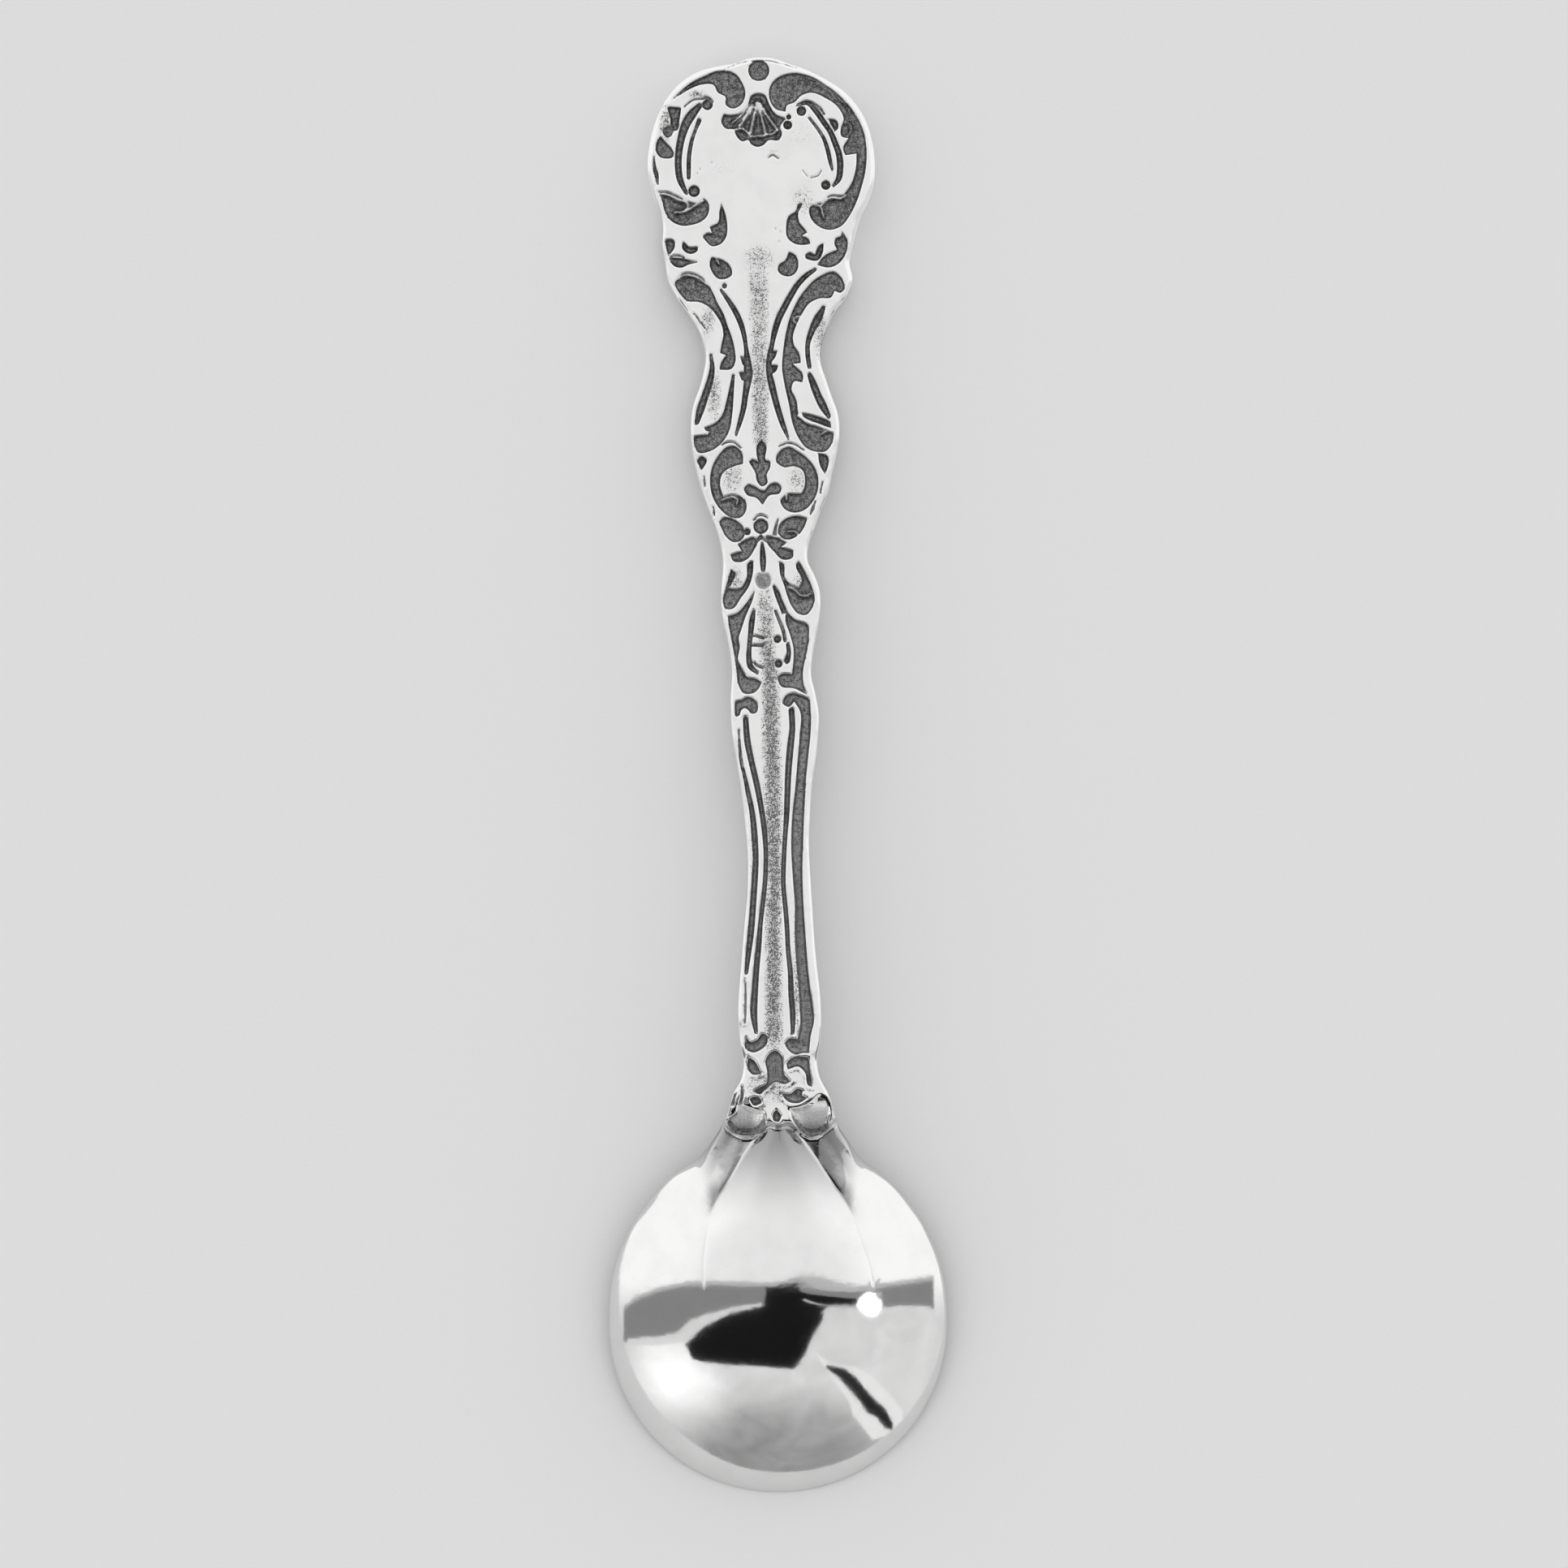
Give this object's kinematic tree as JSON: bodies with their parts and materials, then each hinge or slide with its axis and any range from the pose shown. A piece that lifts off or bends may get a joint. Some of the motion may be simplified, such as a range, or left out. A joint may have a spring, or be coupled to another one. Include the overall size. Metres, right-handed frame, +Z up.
{
  "type": "salt spoon",
  "caption": "Small one-piece salt spoon with a deep round bowl and a handle whose back is carved with scrolls, a fan and leaves; it lies face down.",
  "frame": {"origin": "middle of the bounding box in plan, at the height of the table the spoon lies on", "axes": "+Y from the bowl along the handle to its tip; +Z up, out of the carved back; +X to the right seen from above"},
  "size_m": [0.0156, 0.066, 0.0047],
  "materials": {
    "polished_silver": "polished, with dark patina in the carving"
  },
  "bodies": {
    "root": {"salt_spoon": "polished_silver"}
  },
  "joints": []
}
